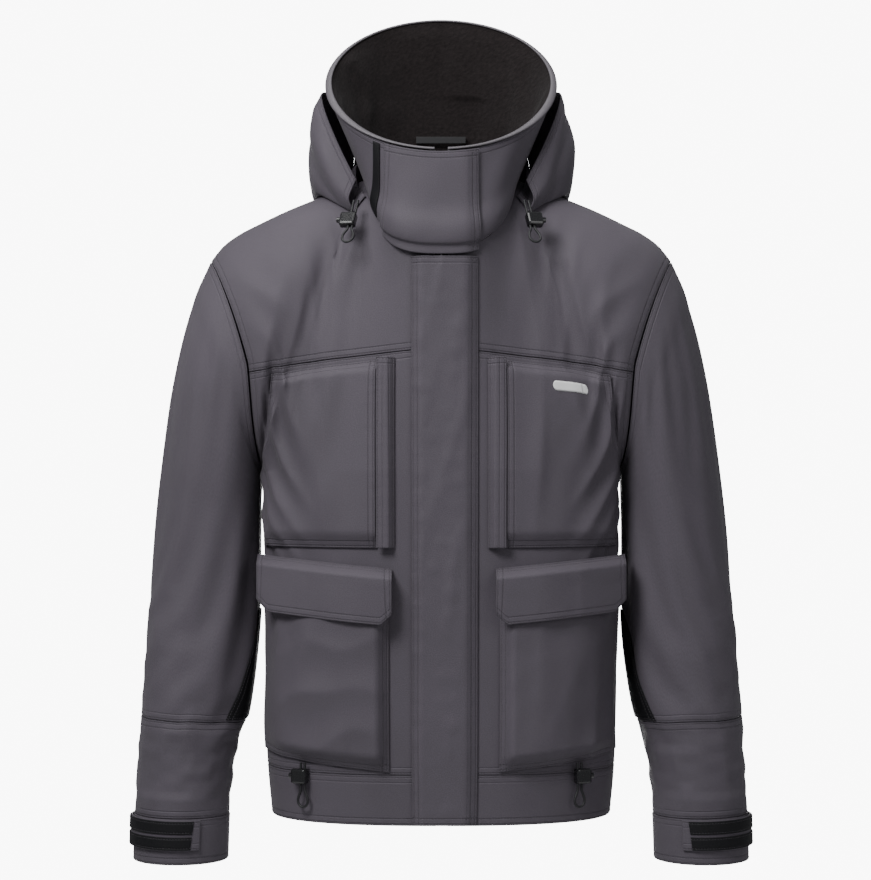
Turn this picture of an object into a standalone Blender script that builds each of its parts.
"""Foul weather jacket, held as if worn: shell panels, collar, hood, zips, pockets, cuffs and cord locks.

Frame: metres, +Z up, the front faces -Y, +X is the wearer's left. The origin is the centre of the
neck opening at the height of the two shoulder neck points, where a coat hanger or a wearer holds it.
Cloth pieces are slabs between two offsets of three surfaces: the body, the sleeve and the collar.
"""

import functools
import math

import bmesh
import bpy
import numpy as np
from mathutils import Matrix, Vector
from mathutils.bvhtree import BVHTree

# --- driving sizes -------------------------------------------------------------------------------
HEM_Z = -0.748  # bottom edge of the body
ARMPIT_Z = -0.345
HALF_WIDTH = 0.2100  # of the body at the armpit
BACK_DEPTH = 0.125
ZIP_FOOT_Y = -0.135  # the front closes on one straight line, leaning back as it rises
ZIP_LEAN = 0.0195
NECK_HALF_WIDTH = 0.088
NECK_FRONT_Z = -0.088
NECK_BACK_Y = 0.075
NECK_BACK_Z = 0.012
RIM_HALF_WIDTH = 0.135  # top edge of the collar, a tilted ellipse
RIM_FRONT_Z = 0.0225
RIM_BACK_Z = 0.2035
RIM_BACK_Y = 0.095
TIP = (HALF_WIDTH + 0.0636, -0.098)  # shoulder tip, x and z
ARMPIT = (HALF_WIDTH, ARMPIT_Z)
CLOTH = 0.0020  # thickness of the laminated shell cloth
GAP = 0.0005  # between pieces that are sewn or lie together
YOKE_Z = -0.203  # chest seam at the centre, and how far it drops per metre outwards
YOKE_DROP = 0.10
BACK_YOKE_Z = -0.150
HEM_SEAM_Z = -0.690
CHANNEL = 0.0075  # half width of the gap that the main zip shows through

# Half width of the body by height, from the hem up.
BODY_WIDTHS = ((-0.748, 0.2000), (-0.700, 0.2045), (-0.624, 0.2070), (-0.528, 0.2080), (-0.345, HALF_WIDTH))
# Shoulder line from the neck point to the tip, x and z.
SHOULDER = ((NECK_HALF_WIDTH, 0.0), (0.135, -0.018), (0.185, -0.0385), (TIP[0] - 0.0586, -0.053),
            (TIP[0] - 0.0318, -0.0672), (TIP[0] - 0.0126, -0.0816), TIP)
# Sleeve stations: inner x, inner z, outer x, outer z, half depth, centre y; x counts from the side.
SLEEVE = (
    (0.0, ARMPIT_Z, TIP[0] - HALF_WIDTH, TIP[1], 0.090, 0.000),
    (0.0036, -0.353, 0.0840, -0.144, 0.089, 0.000),
    (0.0046, -0.361, 0.0996, -0.192, 0.087, 0.000),
    (0.0044, -0.371, 0.1115, -0.250, 0.084, 0.000),
    (0.0050, -0.386, 0.1210, -0.315, 0.081, 0.000),
    (0.0055, -0.410, 0.1300, -0.385, 0.079, -0.001),
    (0.0062, -0.470, 0.1365, -0.455, 0.077, -0.004),
    (0.0090, -0.530, 0.1415, -0.520, 0.074, -0.009),
    (0.0222, -0.626, 0.1460, -0.622, 0.069, -0.018),
    (0.0372, -0.722, 0.1495, -0.720, 0.062, -0.026),
    (0.0410, -0.800, 0.1510, -0.800, 0.058, -0.030),
)
STATIONS = tuple((float(i), HALF_WIDTH + row[0], row[1], HALF_WIDTH + row[2], *row[3:])
                 for i, row in enumerate(SLEEVE))
ARMHOLE_HOLLOW = 0.019  # how far the armhole seam curves in from its chord
SLEEVE_START = (0.08, 0.40)  # station of the sleeve's first edge at the shoulder tip and at the armpit
CUFF_STATION = 9.31
CUFF_END = 10.0
FOREARM_STATION = 8.05
PATCH_TOP = 6.60  # black elbow panel: where it starts, and its edges at the forearm seam in degrees
PATCH_FRONT, PATCH_BACK = 133.0, 262.0
TAB_AT = (0.01, 0.47)  # stations of the tab's edges past the cuff seam
TAB_TURNS = (-30.0, 117.0)  # the cuff tab runs round from the back of the arm to the front

# Storm flap over the main zip, between two distances from the centre line along the cloth.
FLAP_SEAM = 0.0420
FLAP_EDGE = -0.0340
FLAP_RISE = 0.0060  # clearance for the slider and its pull
FLAP_FOOT_Z = HEM_Z + 0.002
FLAP_HEAD_Z = -0.1030
COLLAR_FLAP_EDGE = -0.0640

# Pockets, by distance along the cloth from the centre line and by height.
CHEST_INNER = 0.0740
CHEST_OUTER = 0.2350
CHEST_TOP_DROP = 0.007  # below the chest seam
CHEST_BOTTOM_Z = -0.432
CHEST_RISE = 0.0070
WELT_INNER = 0.0530  # cover strip over the chest zip
WELT_OUTER = 0.0733
CARGO_INNER = {-1: 0.0600, 1: 0.0670}
CARGO_OUTER = 0.2480
CARGO_TOP_Z = -0.472
CARGO_BOTTOM_Z = -0.6865
CARGO_SLANT = 0.090  # both pockets and lids climb outwards
CARGO_RISE = 0.0150
LID_INNER = {-1: 0.0560, 1: 0.0620}  # by x, as a lid is a stiff plate that stands off the body's side
LID_OUTER = 0.2135
LID_TOP_Z = -0.4555
LID_DROP = 0.0640
LID_TURN = 0.0110  # height over which a lid leaves the body
# Lid's lower edge, x and y, before the pocket under it rises.
LID_PLAN = ((0.050, -0.1335), (0.075, -0.1325), (0.100, -0.1287), (0.140, -0.1162), (0.175, -0.0970),
            (0.220, -0.0670))
LID_LEAVES_AT = 0.160  # where its top edge leaves the body
LID_HINGE_SLOPE = 0.25  # of the line it turns about, inwards for each metre out from the centre

# Zips.
TAPE_IN, TAPE_OUT = 0.0040, 0.0135
ZIP_DEPTH = CLOTH - 0.0001  # front of the chain, behind the outer face of the cloth
SLIDER_LEAD = 0.0019  # from the slider's own zero back to the front of the chain
COIL_IN, COIL_OUT = 0.0009, 0.0046
ZIP_TOP_Z = 0.012
ZIP_BOTTOM_Z = -0.738
SLIDER_Z = 0.004
SLIDER_SIZE = (0.0100, 0.0140)  # width and length
CHEST_ZIP_AT = 0.0648  # distance of the chest zips from the centre line
CHEST_SLIDER_Z = -0.238

# Cord locks: where the barrel sits, its turn about Z and its lean back, in degrees.
HEM_LOCK_AT = (0.1585, -0.1085, -0.6940)
HEM_LOCK_YAW = 29.0
HOOD_LOCK_AT = (0.1030, -0.1000, -0.0560)
HOOD_LOCK_YAW = 18.0
HOOD_LOCK_LEAN = 33.0
LOCK_SIZE = (0.0190, 0.0110, 0.0170)
CORD_DIAMETER = 0.0030
STRANDS = 0.0052  # between the two strands of a cord, centre to centre
BUTTON_RADIUS = 0.0032
BUTTON_TRAVEL = 0.0025
# Half of a cord's loop in the lock's own frame: across and up, from the exit down to the bottom.
HEM_CORD = ((0.0026, 0.0155), (0.0026, 0.0060), (0.0026, -0.0040), (0.0026, -0.0130), (0.0030, -0.0170),
            (0.0048, -0.0215), (0.0064, -0.0260), (0.0062, -0.0305), (0.0036, -0.0340), (0.0000, -0.0352))
HOOD_CORD = ((0.0026, 0.0280), (0.0026, 0.0190), (0.0026, 0.0090), (0.0026, -0.0060), (0.0026, -0.0130),
             (0.0048, -0.0175), (0.0064, -0.0220), (0.0062, -0.0270), (0.0036, -0.0305), (0.0000, -0.0317))
LOCK_TRAVEL = 0.0035  # up the cord and down it from where the lock sits

# Hood thrown back: radius and height of its section at the front end, the side and the back.
HOOD_CENTRE_Y = -0.0125
HOOD_KEYS = (
    (62.0, ((0.100, -0.043), (0.112, -0.046), (0.122, -0.030), (0.112, -0.006))),
    (90.0, ((0.100, 0.008), (0.146, -0.020), (0.153, 0.035), (0.141, 0.088))),
    (135.0, ((0.107, 0.018), (0.158, -0.072), (0.180, 0.004), (0.148, 0.112))),
    (180.0, ((0.101, 0.026), (0.168, -0.125), (0.203, -0.030), (0.152, 0.130))),
)
HOOD_CLOTH = 0.0024
HOOD_REST_GAP = 0.0034

GREY, BLACK, LINING, METAL, WHITE = "shell_cloth", "black_trim", "collar_fleece", "zip_metal", "badge_print"
COLOURS = {
    GREY: ((0.105, 0.094, 0.112, 1.0), 0.62, 0.0),
    BLACK: ((0.010, 0.010, 0.012, 1.0), 0.55, 0.0),
    LINING: ((0.022, 0.018, 0.019, 1.0), 0.95, 0.0),
    METAL: ((0.070, 0.070, 0.075, 1.0), 0.35, 0.8),
    WHITE: ((0.80, 0.80, 0.80, 1.0), 0.40, 0.0),
}


def clear_scene():
    for thing in list(bpy.data.objects):
        bpy.data.objects.remove(thing)


def material(slot):
    found = bpy.data.materials.get(slot)
    if found:
        return found
    made = bpy.data.materials.new(slot)
    made.use_nodes = True
    shader = made.node_tree.nodes["Principled BSDF"]
    colour, roughness, metallic = COLOURS[slot]
    shader.inputs["Base Color"].default_value = colour
    shader.inputs["Roughness"].default_value = roughness
    shader.inputs["Metallic"].default_value = metallic
    return made


def smooth_step(t):
    t = min(1.0, max(0.0, t))
    return t * t * (3.0 - 2.0 * t)


@functools.cache
def prepared(knots):
    places = np.array([k[0] for k in knots], float)
    values = np.array([k[1:] for k in knots], float)
    return places, values, np.gradient(values, places, axis=0)


def through(knots, at):
    """Cubic curve through knots (position, values...), with slopes from the neighbouring knots."""
    places, values, slopes = prepared(knots)
    i = int(min(max(np.searchsorted(places, at) - 1, 0), len(places) - 2))
    width = places[i + 1] - places[i]
    t = (at - places[i]) / width
    return (values[i] * (2 * t**3 - 3 * t**2 + 1) + slopes[i] * width * (t**3 - 2 * t**2 + t)
            + values[i + 1] * (3 * t**2 - 2 * t**3) + slopes[i + 1] * width * (t**3 - t**2))


def zip_y(z):
    """Depth of the straight front closing line at a height."""
    return ZIP_FOOT_Y + ZIP_LEAN * (z - HEM_Z)


# --- the body surface ----------------------------------------------------------------------------
FRONT, BACK = -1, 1
ROUNDNESS = {FRONT: 2.5, BACK: 2.25}
SHOULDER_ROUNDNESS = 2.2
SAMPLES = 400


def half_loop(side):
    """Half of the body's section as a table: share of its arc length, x share and depth share."""
    power = 2.0 / ROUNDNESS[side]
    turn = np.linspace(0.0, math.pi / 2, SAMPLES)
    across, deep = np.sin(turn) ** power, np.cos(turn) ** power
    depth = BACK_DEPTH if side == BACK else -zip_y(ARMPIT_Z)
    steps = np.hypot(np.diff(across) * HALF_WIDTH, np.diff(deep) * depth)
    length = np.concatenate([[0.0], np.cumsum(steps)])
    return length / length[-1], across, deep, length[-1]


LOOPS = {side: half_loop(side) for side in (FRONT, BACK)}


def loop_point(side, u, z):
    """Point of the body's section at height z; u runs from -1 to 1 across the front or the back."""
    share, across, deep, _ = LOOPS[side]
    width = through(BODY_WIDTHS, z)[0]
    depth = BACK_DEPTH if side == BACK else -zip_y(z)
    x = width * np.interp(abs(u), share, across) * (1 if u >= 0 else -1)
    return np.array([x, side * depth * np.interp(abs(u), share, deep), z])


@functools.cache
def neck_point(side, x):
    """Neck seam at a distance x from the centre, on the front or on the back."""
    cosine = math.sqrt(max(0.0, 1.0 - (min(abs(x), NECK_HALF_WIDTH) / NECK_HALF_WIDTH) ** 3.2))
    y, z = (zip_y(NECK_FRONT_Z), NECK_FRONT_Z) if side == FRONT else (NECK_BACK_Y, NECK_BACK_Z)
    return np.array([x, y * cosine**0.909, z * cosine**1.3])


def top_edge(side):
    """Upper boundary of half of the front or back, as a table of arc length and points."""
    turn = np.linspace(0.0, 1.0, SAMPLES)
    neck = [neck_point(side, NECK_HALF_WIDTH * (1.0 - (1.0 - t) ** 2)) for t in turn]
    xs = np.linspace(NECK_HALF_WIDTH, TIP[0], SAMPLES)[1:]
    ridge = [np.array([x, 0.0, through(SHOULDER, x)[0]]) for x in xs]
    points = np.array(neck + ridge)
    length = np.concatenate([[0.0], np.cumsum(np.linalg.norm(np.diff(points, axis=0), axis=1))])
    return length, points


TOPS = {side: top_edge(side) for side in (FRONT, BACK)}


@functools.cache
def top_point(side, u):
    length, points = TOPS[side]
    below = LOOPS[side][3]
    at = below * abs(u) + (length[-1] - below) * abs(u) ** 3
    found = np.array([np.interp(at, length, points[:, k]) for k in range(3)])
    found[0] *= 1 if u >= 0 else -1
    return found


def armhole_point(turn):
    """Armhole seam on the +X side; turn is 0 at the shoulder tip, 90 degrees at the front."""
    return sleeve_point(0.0, turn)


def sleeve_point(station, turn):
    inner_x, inner_z, outer_x, outer_z, deep, middle = through(STATIONS, station)
    half = np.array([outer_x - inner_x, 0.0, outer_z - inner_z]) / 2
    centre = np.array([(outer_x + inner_x) / 2, middle, (outer_z + inner_z) / 2])
    hollow = ARMHOLE_HOLLOW * max(0.0, 1.0 - station / 3.0) ** 2
    side = math.sin(turn)
    hollow *= abs(side) ** 1.5 * min(1.0, 1.0 + math.cos(turn))
    return centre + half * math.cos(turn) + np.array([-hollow, -deep * side, 0.0])


def upper_point(side, u, t):
    """Body above the armpit, t from 0 there to 1 at the neck seam and the shoulder line."""
    turn = t * math.pi / 2
    rise = math.sin(turn) ** (2 / SHOULDER_ROUNDNESS)
    bend = 1.0 - math.cos(turn) ** (2 / SHOULDER_ROUNDNESS) if t < 1.0 else 1.0

    def column(at):
        low, high = loop_point(side, at, ARMPIT_Z), top_point(side, at)
        flat = smooth_step((0.55 - abs(at)) / 0.35) if side == FRONT else 0.0
        share = np.array([smooth_step(t), bend + (rise - bend) * flat, rise])
        return low + (high - low) * share

    edge = armhole_point(math.pi * (1.0 - t) * -side)
    mirror = np.array([1.0 if u >= 0 else -1.0, 1.0, 1.0])
    weight = smooth_step((abs(u) - 0.5) / 0.5)
    return column(u) + weight * (edge - column(1.0)) * mirror


def body_point(side, u, v):
    """Outer face of the body: v runs from 0 at the hem over 1 at the armpit to 2 at the top."""
    if v <= 1.0:
        return loop_point(side, u, HEM_Z + (ARMPIT_Z - HEM_Z) * v)
    return upper_point(side, u, min(v, 2.0) - 1.0)


def normal_of(surface, a, b, flip=1.0, step=1e-3):
    """Outward normal of surface(a, b) from central differences."""
    along = surface(a + step, b) - surface(a - step, b)
    up = surface(a, b + step) - surface(a, b - step)
    found = np.cross(along, up) * flip
    return found / max(np.linalg.norm(found), 1e-12)


@functools.cache
def row_at(side, u, z):
    """The v at which a column of the body reaches a height."""
    if z <= ARMPIT_Z:
        return (z - HEM_Z) / (ARMPIT_Z - HEM_Z)
    low, high = 1.0, 2.0
    for _ in range(22):
        middle = (low + high) / 2
        low, high = (middle, high) if body_point(side, u, middle)[2] < z else (low, middle)
    return (low + high) / 2


def on_body(side, u, v, offset):
    u = min(max(u, -0.9999), 0.9999)
    v = min(max(v, 0.0015), 1.9985)
    point = body_point(side, u, v)
    return point + normal_of(lambda a, b: body_point(side, a, b), u, v, -side) * offset


def on_front(s, z, offset):
    """Point off the front at a distance s along the cloth from the centre line, at height z."""
    u = s / LOOPS[FRONT][3]
    return on_body(FRONT, u, row_at(FRONT, u, z), offset)


def on_sleeve(side, station, turn, offset):
    surface = lambda a, b: sleeve_point(a, b)
    point = sleeve_point(station, turn) + normal_of(surface, station, turn, -1.0) * offset
    return point * np.array([side, 1.0, 1.0])


# --- the collar surface --------------------------------------------------------------------------
@functools.cache
def collar_base(turn):
    """Neck seam by angle: 0 at the front centre, 180 degrees at the back."""
    reach = RIM_HALF_WIDTH * abs(math.sin(turn))
    limit = (RIM_HALF_WIDTH / NECK_HALF_WIDTH) ** 3 - 1.0
    x = reach / (1.0 + limit * (reach / RIM_HALF_WIDTH) ** 3) ** (1 / 3)
    side = FRONT if math.cos(turn) > 0 else BACK
    point = neck_point(side, x)
    return np.array([math.copysign(point[0], math.sin(turn)), point[1], point[2]])


def collar_rim(turn):
    front_y = zip_y(RIM_FRONT_Z)
    middle = np.array([0.0, (front_y + RIM_BACK_Y) / 2, (RIM_FRONT_Z + RIM_BACK_Z) / 2])
    tilt = np.array([0.0, (front_y - RIM_BACK_Y) / 2, (RIM_FRONT_Z - RIM_BACK_Z) / 2])
    return middle + tilt * math.cos(turn) + np.array([RIM_HALF_WIDTH * math.sin(turn), 0.0, 0.0])


def on_collar(turn, t, offset):
    surface = lambda a, b: collar_base(a) + (collar_rim(a) - collar_base(a)) * b
    near = math.copysign(max(abs(turn), 0.02), turn)
    return surface(turn, t) + normal_of(surface, near, t, 1.0, 2e-3) * offset


@functools.cache
def collar_turn(x, t):
    """Angle at which the front of the collar is at distance x from the centre, at share t of its height."""
    low, high = 0.0, math.pi / 2
    for _ in range(24):
        middle = (low + high) / 2
        reach = (collar_base(middle) * (1 - t) + collar_rim(middle) * t)[0]
        low, high = (middle, high) if reach < abs(x) else (low, middle)
    return math.copysign((low + high) / 2, x)


# --- making solids -------------------------------------------------------------------------------
def link_mesh(name, build, slot, smooth=True):
    mesh = bpy.data.meshes.new(name)
    bmesh.ops.recalc_face_normals(build, faces=build.faces)
    build.to_mesh(mesh)
    build.free()
    mesh.materials.append(material(slot))
    if smooth:
        mesh.shade_smooth()
        mesh.set_sharp_from_angle(angle=math.radians(40))
    made = bpy.data.objects.new(name, mesh)
    bpy.context.scene.collection.objects.link(made)
    return made


def slab(name, outside, inside, slot, closed=False):
    """Solid between two grids of points of the same size; closed joins the last column to the first."""
    build = bmesh.new()
    rows, columns = len(outside), len(outside[0])
    top = [[build.verts.new(p) for p in row] for row in outside]
    low = [[build.verts.new(p) for p in row] for row in inside]
    spans = range(columns if closed else columns - 1)
    for i in range(rows - 1):
        for j in spans:
            k = (j + 1) % columns
            build.faces.new((top[i][j], top[i][k], top[i + 1][k], top[i + 1][j]))
            build.faces.new((low[i][j], low[i + 1][j], low[i + 1][k], low[i][k]))
    for j in spans:
        k = (j + 1) % columns
        build.faces.new((top[0][j], low[0][j], low[0][k], top[0][k]))
        build.faces.new((top[-1][j], top[-1][k], low[-1][k], low[-1][j]))
    if not closed:
        for i in range(rows - 1):
            build.faces.new((top[i][0], top[i + 1][0], low[i + 1][0], low[i][0]))
            build.faces.new((top[i][-1], low[i][-1], low[i + 1][-1], top[i + 1][-1]))
    return link_mesh(name, build, slot)


def cloth(name, place, us, vs, low, high, slot, closed=False):
    """Slab between offsets low(u, v) and high(u, v) of place(u, v, offset)."""
    outside = [[place(u, v, high(u, v)) for u in us] for v in vs]
    inside = [[place(u, v, low(u, v)) for u in us] for v in vs]
    return slab(name, outside, inside, slot, closed)


def flat(value):
    return lambda u, v: value


def steps(low, high, count):
    return [float(x) for x in np.linspace(low, high, count)]


def rounded_box(name, size, slot, bevel, matrix):
    build = bmesh.new()
    bmesh.ops.create_cube(build, size=1.0)
    bmesh.ops.scale(build, vec=Vector(size), verts=build.verts)
    bmesh.ops.bevel(build, geom=build.edges[:], offset=bevel, segments=2, affect="EDGES", profile=0.5)
    made = link_mesh(name, build, slot)
    made.matrix_world = matrix
    return made


def rod(name, radius, length, slot, matrix, sides=16):
    """Cylinder along its own Z, centred on its origin."""
    build = bmesh.new()
    bmesh.ops.create_cone(build, cap_ends=True, segments=sides, radius1=radius, radius2=radius, depth=length)
    made = link_mesh(name, build, slot)
    made.matrix_world = matrix
    return made


def cut(target, cutter):
    cutter.hide_render = True
    cutter.display_type = "WIRE"
    hole = target.modifiers.new(cutter.name, "BOOLEAN")
    hole.operation = "DIFFERENCE"
    hole.solver = "EXACT"
    hole.object = cutter


def join(target, other):
    other.hide_render = True
    other.display_type = "WIRE"
    union = target.modifiers.new(other.name, "BOOLEAN")
    union.operation = "UNION"
    union.solver = "EXACT"
    union.object = other


def zip_matrix(x, z, deep=0.0):
    """Frame on the straight closing line: X across, Y inwards, Z up the line."""
    lean = math.atan(ZIP_LEAN)
    return Matrix.Translation((x, zip_y(z) + deep, z)) @ Matrix.Rotation(-lean, 4, "X")


def slider_matrix():
    return zip_matrix(0.0, SLIDER_Z, ZIP_DEPTH - SLIDER_LEAD)


# --- body panels ---------------------------------------------------------------------------------
FRONT_COLUMNS = (0.08, 0.16, 0.24, 0.32, 0.39, 0.45, 0.52, 0.60, 0.70, 0.80, 0.90)


def body_panels():
    thick = (flat(-CLOTH), flat(0.0))
    front_u = LOOPS[FRONT][3]
    start = CHANNEL / front_u
    hem_v = row_at(FRONT, 0.0, HEM_SEAM_Z)
    seam = 0.004  # gap in v between sewn panels, under a millimetre of cloth

    def yoke_v(side, u):
        if side == BACK:
            return row_at(BACK, u, BACK_YOKE_Z)
        return row_at(FRONT, u, YOKE_Z - YOKE_DROP * abs(u) * front_u)

    def panel(name, side, us, low_v, high_v, rows):
        def place(u, t, offset):
            low, high = low_v(u), high_v(u)
            return on_body(side, u, low + (high - low) * t, offset)
        return cloth(name, place, us, steps(0.0, 1.0, rows), *thick, GREY)

    for side, word in ((-1, "right"), (1, "left")):
        us = [side * u for u in (start, *FRONT_COLUMNS, 0.9985)]
        panel(f"front_panel_{word}", FRONT, us, lambda u: hem_v + seam,
              lambda u: yoke_v(FRONT, u) - seam / 2, 13)
        panel(f"front_yoke_{word}", FRONT, us, lambda u: yoke_v(FRONT, u) + seam / 2, lambda u: 1.996, 8)
    half = (0.0, 0.10, 0.20, 0.30, 0.38, 0.46, 0.56, 0.68, 0.80, 0.90, 0.9985)
    us = [-u for u in half[:0:-1]] + list(half)
    panel("back_panel", BACK, us, lambda u: hem_v + seam, lambda u: yoke_v(BACK, u) - seam / 2, 13)
    panel("back_yoke", BACK, us, lambda u: yoke_v(BACK, u) + seam / 2, lambda u: 1.996, 7)
    hem_band(start, hem_v - seam)


def hem_band(start, top_v):
    """One band from the zip round the back to the zip again."""
    right = [(FRONT, -u) for u in steps(start, 0.999, 10)]
    back = [(BACK, u) for u in steps(-0.96, 0.96, 15)]
    left = [(FRONT, u) for u in steps(0.999, start, 10)]
    ring = right + back + left
    vs = steps(0.0, top_v, 4)
    outside = [[on_body(side, u, v, 0.0) for side, u in ring] for v in vs]
    inside = [[on_body(side, u, v, -CLOTH) for side, u in ring] for v in vs]
    slab("hem_band", outside, inside, GREY)


def storm_flaps():
    """The outer flap over the zip and its counterpart on the collar."""
    def rise(s, *_):
        inward = smooth_step((FLAP_SEAM - s) / 0.016) * smooth_step((s - FLAP_EDGE) / 0.012)
        return 0.0008 + FLAP_RISE * inward

    across = [FLAP_EDGE, -0.030, -0.026, -0.022, -0.012, 0.0, 0.012, 0.026, 0.031, 0.036, FLAP_SEAM]
    heights = [FLAP_FOOT_Z, HEM_SEAM_Z] + steps(-0.60, -0.22, 5) + [-0.15, FLAP_HEAD_Z]
    cloth("storm_flap", on_front, across, heights, rise, lambda s, z: rise(s) + CLOTH, GREY)

    def on_neck(x, t, offset):
        return on_collar(collar_turn(x, t), t, offset)

    def collar_rise(x, t):
        inward = smooth_step((FLAP_SEAM - x) / 0.016) * smooth_step((x - COLLAR_FLAP_EDGE) / 0.020)
        return 0.0032 + (FLAP_RISE - 0.0020) * inward

    across = [COLLAR_FLAP_EDGE, -0.056, -0.049, -0.040, -0.026, -0.012, 0.0, 0.012, 0.026, 0.034, FLAP_SEAM]
    shares = steps(-0.055, 0.97, 5)
    cloth("collar_flap", on_neck, across, shares, collar_rise, lambda x, t: collar_rise(x, t) + CLOTH, GREY)


# --- zips ----------------------------------------------------------------------------------------
def main_zip():
    """Tape and coil as one strip on each side, with a slot in the middle for the slider's bridge."""
    middle, length = (ZIP_TOP_Z + ZIP_BOTTOM_Z) / 2, ZIP_TOP_Z - ZIP_BOTTOM_Z
    for side, word in ((-1, "right"), (1, "left")):
        chain, tape, back = ZIP_DEPTH, ZIP_DEPTH + 0.0011, ZIP_DEPTH + 0.0018
        outline = ((COIL_IN, chain), (COIL_OUT, chain), (COIL_OUT, tape), (TAPE_OUT, tape),
                   (TAPE_OUT, back), (COIL_IN, back))
        build = bmesh.new()
        ends = [[build.verts.new((side * x, y, z)) for x, y in outline] for z in (-length / 2, length / 2)]
        count = len(outline)
        for i in range(count):
            j = (i + 1) % count
            build.faces.new((ends[0][i], ends[0][j], ends[1][j], ends[1][i]))
        build.faces.new(ends[0][::-1])
        build.faces.new(ends[1])
        made = link_mesh(f"main_zip_{word}", build, BLACK)
        made.matrix_world = zip_matrix(0.0, middle)
    slider("main_zip_slider", slider_matrix(), 0.0041)
    pull("main_zip_pull", slider_matrix())


def slider(name, matrix, back_plate):
    """Front plate, bridge and back plate of a zip slider, joined."""
    wide, tall = SLIDER_SIZE
    body = rounded_box(name, (wide, 0.0021, tall), METAL, 0.0006,
                       matrix @ Matrix.Translation((0, 0.00045, 0)))
    bridge = rounded_box(name + "_bridge", (0.0012, back_plate + 0.0006, tall * 0.5), METAL, 0.0001,
                         matrix @ Matrix.Translation((0, back_plate / 2 + 0.0004, tall * 0.2)))
    plate = rounded_box(name + "_plate", (wide, 0.0015, tall), METAL, 0.0004,
                        matrix @ Matrix.Translation((0, back_plate + 0.00075, 0)))
    join(body, bridge)
    join(body, plate)
    return body


def pull(name, matrix):
    """Moulded pull hanging in front of a slider, from a pin line near its top."""
    length = 0.030
    return rounded_box(name, (0.0052, 0.0014, length), BLACK, 0.0005,
                       matrix @ Matrix.Translation((0, -0.0017, 0.0035 - length / 2)))


def chest_zips():
    """Short zip under each chest pocket's free edge, on a straight line of its own."""
    for side, word in ((-1, "right"), (1, "left")):
        top = chest_top(CHEST_INNER)
        matrix = chest_zip_matrix(side, (top + CHEST_BOTTOM_Z) / 2)
        length = top - CHEST_BOTTOM_Z - 0.016
        rounded_box(f"chest_zip_{word}", (0.0120, 0.0009, length), BLACK, 0.0002,
                    matrix @ Matrix.Translation((0, -0.0005, 0)))
        at = chest_zip_matrix(side, CHEST_SLIDER_Z)
        rounded_box(f"chest_zip_slider_{word}", (0.0075, 0.0016, 0.0100), METAL, 0.0005,
                    at @ Matrix.Translation((0, -0.0021, 0)))
        rounded_box(f"chest_zip_pull_{word}", (0.0042, 0.0011, 0.0240), BLACK, 0.0004,
                    at @ Matrix.Translation((0, -0.0038, 0.0025 - 0.0120)))


def chest_zip_matrix(side, z):
    """Frame on a chest zip: X along the cloth, Y inwards, Z up, on the chord of the front there."""
    low = Vector(on_front(side * CHEST_ZIP_AT, CHEST_BOTTOM_Z + 0.008, 0.0))
    high = Vector(on_front(side * CHEST_ZIP_AT, chest_top(CHEST_INNER) - 0.008, 0.0))
    up = (high - low).normalized()
    beside = [Vector(on_front(side * CHEST_ZIP_AT + dx, z, 0.0)) for dx in (-0.004, 0.004)]
    across = beside[1] - beside[0]
    inward = up.cross(across).normalized()
    across = inward.cross(up)
    at = low + up * ((z - low.z) / up.z)
    turn = Matrix((across, inward, up)).transposed().to_4x4()
    return Matrix.Translation(at - inward * (chest_bulge(side, low, inward) + 0.0005)) @ turn


def chest_bulge(side, low, inward):
    """How far the cloth under a chest zip stands out in front of the straight line between its ends."""
    heights = steps(CHEST_BOTTOM_Z + 0.008, chest_top(CHEST_INNER) - 0.008, 12)
    spots = [Vector(on_front(side * (CHEST_ZIP_AT + dx), z, 0.0))
             for z in heights for dx in (-0.006, 0.0, 0.006)]
    return max(0.0, max(-(spot - low).dot(inward) for spot in spots))


# --- pockets -------------------------------------------------------------------------------------
def pocket_rise(s, z, box, height, open_inner):
    """Standing height of a pocket's face: low along its sewn edges, full inside."""
    inner, outer, low, high = box
    edges = [(outer - s) / 0.030, (z - low) / 0.020, (high - z) / 0.014]
    if not open_inner:
        edges.append((s - inner) / 0.014)
    share = 1.0
    for edge in edges:
        share *= smooth_step(edge)
    return 0.0006 + height * share


def chest_top(s):
    """Height of a chest pocket's top edge, along the chest seam."""
    return YOKE_Z - YOKE_DROP * abs(s) - CHEST_TOP_DROP


def chest_rise(s, z):
    box = (CHEST_INNER, CHEST_OUTER, CHEST_BOTTOM_Z, chest_top(s))
    clear = 0.0004 + 0.0016 * smooth_step((abs(s) - 0.180) / 0.030)
    return clear + pocket_rise(abs(s), z, box, CHEST_RISE, True)


def chest_place(s, t, offset):
    """Point at share t of a chest pocket's height; offset adds to its standing face."""
    z = CHEST_BOTTOM_Z + (chest_top(s) - CHEST_BOTTOM_Z) * t
    return on_front(s, z, chest_rise(s, z) + offset)


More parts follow.
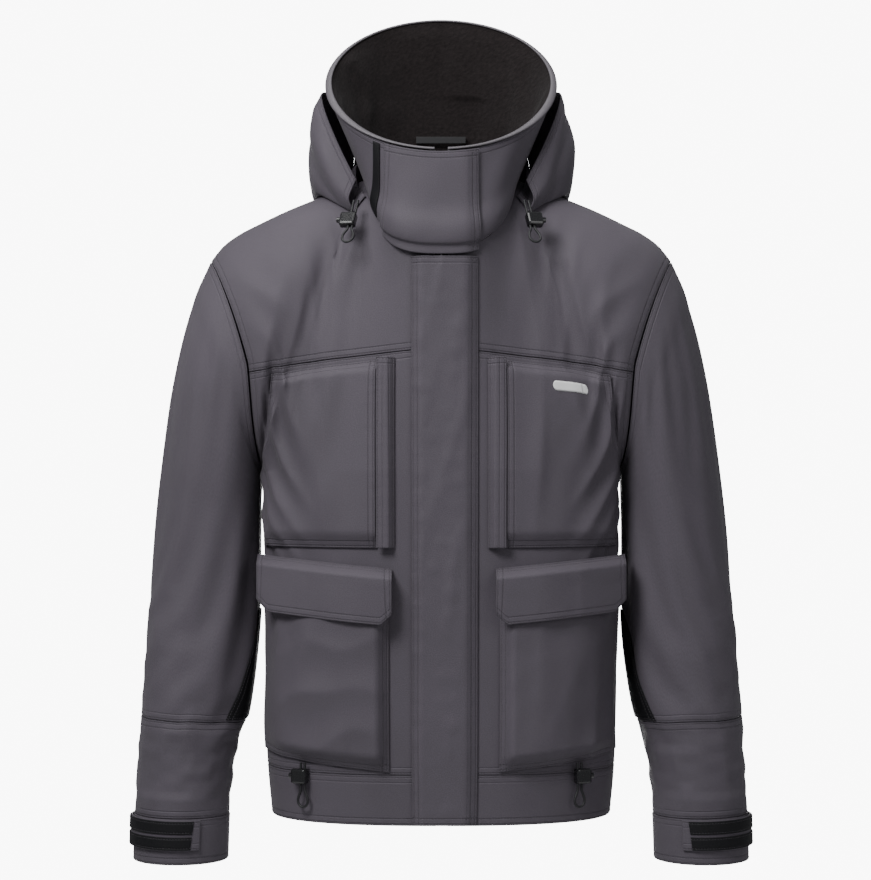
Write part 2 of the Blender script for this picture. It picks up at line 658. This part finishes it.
def chest_pockets():
    """Face of each chest pocket, open towards the centre, and the cover strip over its zip."""
    across = [CHEST_INNER, 0.090, 0.110, 0.130, 0.150, 0.170, 0.190, 0.205, 0.215, 0.225, CHEST_OUTER]
    shares = [0.0, 0.023, 0.055, 0.090, 0.23, 0.41, 0.59, 0.77, 0.936, 0.968, 1.0]
    for side, word in ((-1, "right"), (1, "left")):
        cloth(f"chest_pocket_{word}", chest_place, [side * s for s in across], shares,
              flat(0.0), flat(CLOTH), GREY)

        def welt(s, z):
            return 0.0010 + (CHEST_RISE + 0.0012) * smooth_step((abs(s) - WELT_INNER) / 0.0070)
        strips = [side * s for s in (WELT_INNER, 0.0555, 0.0580, 0.0605, 0.0670, WELT_OUTER)]
        heights = steps(CHEST_BOTTOM_Z, chest_top(CHEST_INNER) + 0.003, 8)
        cloth(f"chest_welt_{word}", on_front, strips, heights, welt, lambda s, z: welt(s, z) + CLOTH, GREY)


def cargo_place(s, z, offset):
    """Point of a cargo pocket at an unslanted height z, standing off the body."""
    side = 1 if s > 0 else -1
    first, outer = CARGO_INNER[side], CARGO_OUTER
    share = smooth_step((outer - abs(s)) / 0.110) * smooth_step((abs(s) - first) / 0.014)
    share *= smooth_step((z - CARGO_BOTTOM_Z) / 0.020)
    return on_front(s, z + CARGO_SLANT * (abs(s) - first), 0.0012 + CARGO_RISE * share + offset)


def cargo_pockets():
    """Standing face of each cargo pocket, open at its top."""
    heights = [CARGO_BOTTOM_Z, -0.682, -0.677, -0.672, -0.6655, -0.640, -0.600, -0.560, -0.520, CARGO_TOP_Z]
    for side, word in ((-1, "right"), (1, "left")):
        first = CARGO_INNER[side]
        across = [first, first + 0.004, first + 0.008, first + 0.014] + steps(first + 0.032, CARGO_OUTER, 10)
        cloth(f"cargo_pocket_{word}", cargo_place, [side * s for s in across], heights,
              flat(0.0), flat(CLOTH), GREY)


def lid_top_y(x):
    """Depth of a lid's sewn edge: it lies on the body, then carries on straight where the body turns away."""
    def face(at):
        depth, width = -zip_y(LID_TOP_Z), through(BODY_WIDTHS, LID_TOP_Z)[0]
        return -depth * (1.0 - (at / width) ** ROUNDNESS[FRONT]) ** (1.0 / ROUNDNESS[FRONT])
    if x <= LID_LEAVES_AT:
        return face(x) - 0.0012
    slope = (face(LID_LEAVES_AT) - face(LID_LEAVES_AT - 0.002)) / 0.002
    return face(LID_LEAVES_AT) - 0.0012 + slope * (x - LID_LEAVES_AT)


def lid_place(x, drop, offset):
    """Point of a lid at a distance down from its slanted top edge."""
    top, full = lid_top_y(abs(x)), through(LID_PLAN, abs(x))[0] - CARGO_RISE
    y = top + (full - top) * smooth_step(drop / LID_TURN)
    return np.array([x, y - offset * 1.2, LID_TOP_Z + CARGO_SLANT * (abs(x) - 0.056) - drop])


def pocket_lids():
    for side, word in ((-1, "right"), (1, "left")):
        across = [side * x for x in steps(LID_INNER[side], LID_OUTER, 12)]
        drops = [LID_DROP, 0.040, 0.020, LID_TURN, 0.0085, 0.0055, 0.0028, 0.0]
        cloth(f"pocket_lid_{word}", lid_place, across, drops, flat(0.0), flat(CLOTH), GREY)


def badge():
    """Small plain print on the left chest."""
    low, high = (0.835, 0.925)
    cloth("chest_badge", chest_place, steps(0.132, 0.186, 5), steps(low, high, 2),
          flat(CLOTH + 0.0010), flat(CLOTH + 0.0016), WHITE)


# --- sleeves -------------------------------------------------------------------------------------
SLEEVE_RINGS = (0.0, 0.60, 1.0, 1.6, 2.3, 3.0, 3.8, 4.6, 5.3, 6.0, 6.8, 7.5)


def sleeves():
    turns = [math.tau * i / 20 for i in range(20)]
    for side, word in ((-1, "right"), (1, "left")):
        def place(turn, station, offset):
            start = SLEEVE_START[0] + (SLEEVE_START[1] - SLEEVE_START[0]) * (1.0 - math.cos(turn)) / 2
            return on_sleeve(side, max(station, start), turn, offset)

        cloth(f"sleeve_{word}", place, turns, [*SLEEVE_RINGS, FOREARM_STATION - 0.01],
              flat(-CLOTH), flat(0.0), GREY, closed=True)
        cloth(f"forearm_{word}", place, turns, [FOREARM_STATION, 8.5, 9.0, CUFF_STATION - 0.01],
              flat(-CLOTH), flat(0.0), GREY, closed=True)
        cloth(f"cuff_{word}", place, turns, [CUFF_STATION, 9.7, CUFF_END],
              flat(-CLOTH), flat(0.0008), GREY, closed=True)

        def patch_place(k, t, offset):
            front, back = 172.0 + (PATCH_FRONT - 172.0) * t, 226.0 + (PATCH_BACK - 226.0) * t
            station = PATCH_TOP + (FOREARM_STATION - 0.03 - PATCH_TOP) * t
            return place(math.radians(front + (back - front) * k), station, offset)
        cloth(f"elbow_patch_{word}", patch_place, steps(0.0, 1.0, 9), steps(0.0, 1.0, 6),
              flat(0.0016), flat(0.0026), BLACK)
        tab_turns = [math.radians(a) for a in steps(*TAB_TURNS, 13)]
        tab_stations = steps(CUFF_STATION + TAB_AT[0], CUFF_STATION + TAB_AT[1], 3)
        cloth(f"cuff_tab_{word}", place, tab_turns, tab_stations, flat(0.0020), flat(0.0042), GREY)


# --- collar --------------------------------------------------------------------------------------
def collar():
    def part(name, turns, low, high, slot, shares):
        cloth(name, on_collar, turns, shares, flat(low), flat(high), slot)

    shares = steps(0.030, 0.985, 5)
    side_turn, split = math.radians(100), math.radians(0.5)
    for side, word in ((-1, "right"), (1, "left")):
        def place(k, t, offset):
            start = collar_turn(CHANNEL, t)
            return on_collar(side * (start + (side_turn - split - start) * k), t, offset)
        cloth(f"collar_{word}", place, steps(0.0, 1.0, 14), shares, flat(-CLOTH), flat(0.0), GREY)
    part("collar_back", steps(side_turn, math.tau - side_turn, 18), -CLOTH, 0.0, GREY, shares)

    def lining_place(k, t, offset):
        start = collar_turn(0.0165, t)
        return on_collar(start + (math.tau - 2 * start) * k, t, offset)
    cloth("collar_lining", lining_place, steps(0.0, 1.0, 37), steps(0.02, 0.995, 5),
          flat(-CLOTH - 0.0032), flat(-CLOTH - 0.0012), LINING)

    def tape_place(x, t, offset):
        return on_collar(collar_turn(x, t), t, offset)
    cloth("collar_loop_tape", tape_place, [-0.0780, -0.0700], steps(0.10, 0.93, 4),
          flat(0.0015), flat(0.0025), BLACK)


def hanger_loop():
    """Strap inside the back of the neck: two legs on the lining and a flat bar that sits on a hook."""
    middle = on_collar(math.pi, 0.22, -CLOTH - 0.0032 - GAP - 0.0020)
    bar = rounded_box("hanger_loop", (0.060, 0.0014, 0.0080), BLACK, 0.0003,
                      Matrix.Translation((0.0, middle[1] - 0.0070, middle[2])))
    for x in (-0.027, 0.027):
        leg = rounded_box(f"hanger_leg_{x > 0}", (0.0060, 0.0066, 0.0080), BLACK, 0.0002,
                          Matrix.Translation((x, middle[1] - 0.0042, middle[2])))
        join(bar, leg)


# --- hood ----------------------------------------------------------------------------------------
def yoke_tree():
    """The top of the body as a tree that finds the height of the cloth under a point."""
    points, faces = [], []
    for side in (FRONT, BACK):
        us, vs = steps(-0.999, 0.999, 49), steps(0.9, 1.998, 41)
        first = len(points)
        points += [Vector(body_point(side, u, v)) for v in vs for u in us]
        for i in range(len(vs) - 1):
            for j in range(len(us) - 1):
                a = first + i * len(us) + j
                faces.append((a, a + 1, a + 1 + len(us), a + len(us)))
    return BVHTree.FromPolygons(points, faces)


@functools.cache
def hood_knots(degrees):
    keys = tuple((angle, *[x for pair in section for x in pair]) for angle, section in HOOD_KEYS)
    control = through(keys, degrees).reshape(4, 2)
    return tuple((i / 3, *pair) for i, pair in enumerate(control))


def hood_section(degrees, t):
    """Radius and height of the hood at an angle round the neck; t from the neck seam to the rim."""
    return through(hood_knots(round(degrees, 6)), t)


def hood():
    tree = yoke_tree()

    def surface(turn, t):
        radius, height = hood_section(math.degrees(abs(turn)), min(max(t, 0.0), 1.0))
        return np.array([radius * math.sin(turn), HOOD_CENTRE_Y - radius * math.cos(turn), height])

    def place(turn, t, offset):
        near_t = min(max(t, 0.01), 0.99)
        point = surface(turn, t) + normal_of(surface, turn, near_t, -1.0, 4e-3) * offset
        hit = tree.ray_cast(Vector((point[0], point[1], 0.5)), Vector((0, 0, -1)))[0]
        floor = (hit.z if hit else -1.0) + HOOD_REST_GAP + offset
        return np.array([point[0], point[1], max(point[2], floor)])

    shares = steps(0.0, 1.0, 11)
    split, half = math.radians(0.4), math.radians(142)
    front = math.radians(HOOD_KEYS[0][0])
    for side, word in ((-1, "right"), (1, "left")):
        cloth(f"hood_side_{word}", place, [side * a for a in steps(front, half - split, 10)], shares,
              flat(0.0), flat(HOOD_CLOTH), GREY)

    def centre(k, t, offset):
        """Back panel, from one side seam over the back to the other."""
        turn = half + (math.tau - 2 * half) * k
        return place(turn if turn <= math.pi else turn - math.tau, t, offset)
    cloth("hood_centre", centre, steps(0.0, 1.0, 9), shares, flat(0.0), flat(HOOD_CLOTH), GREY)


# --- cord locks ----------------------------------------------------------------------------------
def lock_matrix(at, yaw, lean, side):
    """Frame of a cord lock on the left (side 1) or right: X across, Y inwards, Z up its cord."""
    place = Matrix.Translation((side * at[0], at[1], at[2]))
    turn = Matrix.Rotation(math.radians(side * yaw), 4, "Z") @ Matrix.Rotation(math.radians(-lean), 4, "X")
    return place @ turn


def cord_lock(name, matrix, side):
    """Barrel with a slot for two strands, and a sprung button in a blind bore in its outer end."""
    wide, deep, tall = LOCK_SIZE
    shift = side * 0.0042  # the barrel reaches further on the button's side
    body = rounded_box(name, (wide, deep, tall), BLACK, 0.0024, matrix @ Matrix.Translation((shift, 0, 0)))
    room = CORD_DIAMETER + 0.0010
    slot = rounded_box(name + "_slot", (STRANDS + room, room, tall * 1.5), BLACK, 0.0003, matrix)
    cut(body, slot)
    mouth = shift + side * wide / 2
    depth = 0.0072
    turn = Matrix.Rotation(math.radians(90), 4, "Y")
    at_mouth = matrix @ Matrix.Translation((mouth, 0, 0)) @ turn
    bore = rod(name + "_bore", BUTTON_RADIUS + 0.0003, depth * 2, BLACK, at_mouth)
    cut(body, bore)
    length = depth - BUTTON_TRAVEL - 0.0006 + 0.0040
    start = mouth + side * (0.0040 - length / 2)
    at_start = matrix @ Matrix.Translation((start, 0, 0)) @ turn
    rod(name.replace("lock", "button"), BUTTON_RADIUS, length, BLACK, at_start)


def cord(name, half, matrix):
    """Elastic cord: down one strand, round the free loop and up the other."""
    route = [(-x, up) for x, up in half] + [(x, up) for x, up in half[-2::-1]]
    curve = bpy.data.curves.new(name, "CURVE")
    curve.dimensions = "3D"
    curve.bevel_depth = CORD_DIAMETER / 2
    curve.bevel_resolution = 2
    curve.use_fill_caps = True
    spline = curve.splines.new("POLY")
    spline.points.add(len(route) - 1)
    for point, (across, up) in zip(spline.points, route, strict=True):
        point.co = (across, 0.0, up, 1.0)
    curve.materials.append(material(BLACK))
    made = bpy.data.objects.new(name, curve)
    made.matrix_world = matrix
    bpy.context.scene.collection.objects.link(made)


def cords_and_locks():
    for side, word in ((-1, "right"), (1, "left")):
        hem = lock_matrix(HEM_LOCK_AT, HEM_LOCK_YAW, 0.0, side)
        cord_lock(f"hem_lock_{word}", hem, side)
        cord(f"hem_cord_{word}", HEM_CORD, hem)
        neck = lock_matrix(HOOD_LOCK_AT, HOOD_LOCK_YAW, HOOD_LOCK_LEAN, side)
        cord_lock(f"hood_lock_{word}", neck, side)
        cord(f"hood_cord_{word}", HOOD_CORD, neck)


# --- joint axes ----------------------------------------------------------------------------------
def hang(point, *names):
    """Moves the origins of objects to a point on their joint's axis; their shapes stay where they are."""
    place = Matrix.Translation(Vector(point))
    for name in names:
        made = bpy.data.objects[name]
        made.data.transform(place.inverted() @ made.matrix_world)
        made.matrix_world = place


def flap_hinge():
    """Point on the straight line that the storm flap turns about, just outside its sewn edge."""
    heights = steps(FLAP_FOOT_Z, FLAP_HEAD_Z, 25)
    seam = np.array([on_front(FLAP_SEAM, z, 0.0008 + CLOTH) for z in heights])
    across, deep = np.polyfit(seam[:, 2], seam[:, 0], 1), np.polyfit(seam[:, 2], seam[:, 1], 1)
    proud_x = (seam[:, 0] - np.polyval(across, seam[:, 2])).max()
    proud_y = (seam[:, 1] - np.polyval(deep, seam[:, 2])).min()
    z = (FLAP_FOOT_Z + FLAP_HEAD_Z) / 2
    return (np.polyval(across, z) + proud_x + 0.0003, np.polyval(deep, z) + proud_y - 0.0004, z)


def collar_flap_hinge():
    ends = [on_collar(collar_turn(FLAP_SEAM, t), t, 0.0032 + CLOTH) for t in (0.02, 0.97)]
    return (ends[0] + ends[1]) / 2 + np.array([0.0006, -0.0006, 0.0])


def lid_hinge(side):
    """Point on the slanted line that a pocket lid turns about, touching its sewn edge from outside."""
    line = [(x, lid_top_y(x) - CLOTH * 1.2) for x in steps(LID_INNER[side], 0.17, 30)]
    x, y = min(line, key=lambda spot: spot[1] - LID_HINGE_SLOPE * spot[0])
    at = 0.110
    depth = y + LID_HINGE_SLOPE * (at - x) - 0.0008
    return (side * at, depth, LID_TOP_Z + CARGO_SLANT * (at - 0.056) + 0.0002)


def tab_hinge(side):
    turn = math.radians(TAB_TURNS[0])
    ends = [on_sleeve(side, CUFF_STATION + dx, turn, 0.0047) for dx in TAB_AT]
    return (ends[0] + ends[1]) / 2


def joint_origins():
    hang(slider_matrix() @ Vector((0, -0.0017, 0.0020)), "main_zip_pull")
    hang(flap_hinge(), "storm_flap")
    hang(collar_flap_hinge(), "collar_flap")
    for side, word in ((-1, "right"), (1, "left")):
        hang(chest_zip_matrix(side, CHEST_SLIDER_Z) @ Vector((0, -0.0038, 0.0012)), f"chest_zip_pull_{word}")
        hang(lid_hinge(side), f"pocket_lid_{word}")
        shoulder = (side * (TIP[0] + 0.0006), 0.0, TIP[1] + 0.0015)
        hang(shoulder, *[f"{part}_{word}" for part in ("sleeve", "forearm", "cuff", "elbow_patch")])
        hang(tab_hinge(side), f"cuff_tab_{word}")


def main():
    clear_scene()
    body_panels()
    storm_flaps()
    main_zip()
    chest_pockets()
    chest_zips()
    cargo_pockets()
    pocket_lids()
    badge()
    sleeves()
    collar()
    hanger_loop()
    hood()
    cords_and_locks()
    joint_origins()


main()
